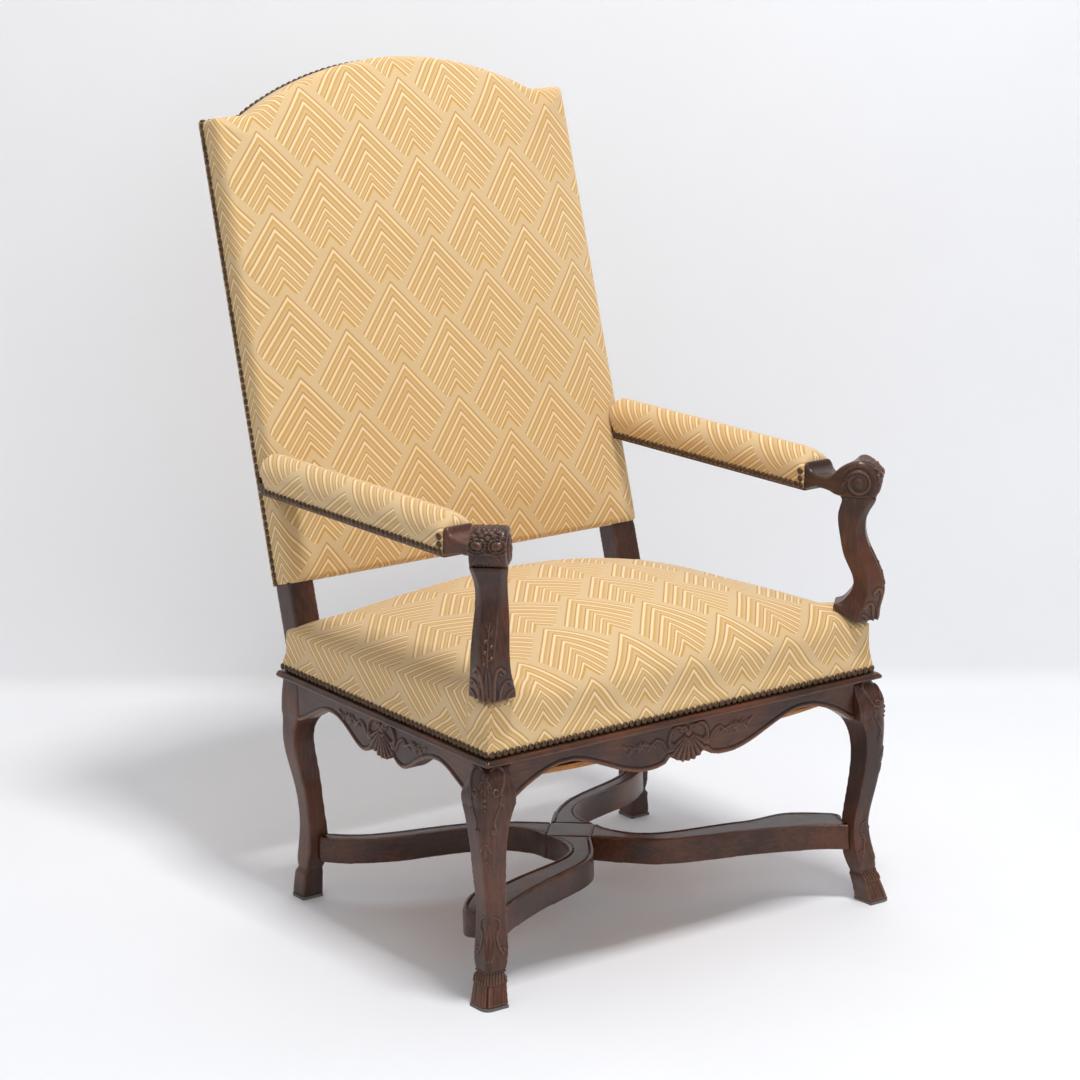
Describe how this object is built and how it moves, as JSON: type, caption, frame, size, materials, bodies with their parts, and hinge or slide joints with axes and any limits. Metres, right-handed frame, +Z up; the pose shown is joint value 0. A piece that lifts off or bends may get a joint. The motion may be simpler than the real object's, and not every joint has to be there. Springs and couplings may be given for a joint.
{
  "type": "upholstered open armchair",
  "caption": "High-backed open armchair with carved cabriole legs, a crossed stretcher, scrolled arms with pads, a domed seat and nailed cloth covers.",
  "frame": {"origin": "on the floor, under the middle of the chair's box", "axes": "+Z up, the chair faces -Y, +X to the right as seen from the front"},
  "size_m": [0.7122, 0.7794, 1.1685],
  "materials": {
    "carved_wood": "dark waxed, worn on the edges",
    "plain_beech": "bare, hidden",
    "yellow_cloth": "woven chevrons",
    "stuffing": "hair and fibre in scrim",
    "hessian": "open plain weave",
    "jute_webbing": "herringbone bands",
    "bronze_nails": "dark patina",
    "spring_steel": "coppered wire",
    "felt": "pressed felt"
  },
  "bodies": {
    "root": {"front_leg_left": "carved_wood", "front_leg_right": "carved_wood", "back_leg_left": "carved_wood", "back_leg_right": "carved_wood", "felt_pads": "felt", "front_apron": "carved_wood", "side_apron_left": "carved_wood", "side_apron_right": "carved_wood", "back_seat_rail": "plain_beech", "front_moulding": "carved_wood", "side_moulding_left": "carved_wood", "side_moulding_right": "carved_wood", "corner_blocks": "plain_beech", "crest_rail": "plain_beech", "lower_back_rail": "plain_beech", "arm_left": "carved_wood", "arm_right": "carved_wood", "arm_support_left": "carved_wood", "arm_support_right": "carved_wood", "stretcher_centre": "carved_wood", "stretcher_front_left": "carved_wood", "stretcher_front_right": "carved_wood", "stretcher_back_left": "carved_wood", "stretcher_back_right": "carved_wood", "seat_webbing": "jute_webbing", "seat_springs": "spring_steel", "spring_canvas": "hessian", "seat_stuffing": "stuffing", "seat_cover": "yellow_cloth", "bottom_cloth": "hessian", "back_webbing": "jute_webbing", "back_stuffing": "stuffing", "back_cover": "yellow_cloth", "outside_back": "yellow_cloth", "arm_pad_left": "stuffing", "arm_pad_right": "stuffing", "arm_cover_left": "yellow_cloth", "arm_cover_right": "yellow_cloth", "seat_nails": "bronze_nails", "back_nails": "bronze_nails", "arm_nails_left": "bronze_nails", "arm_nails_right": "bronze_nails"}
  },
  "joints": []
}
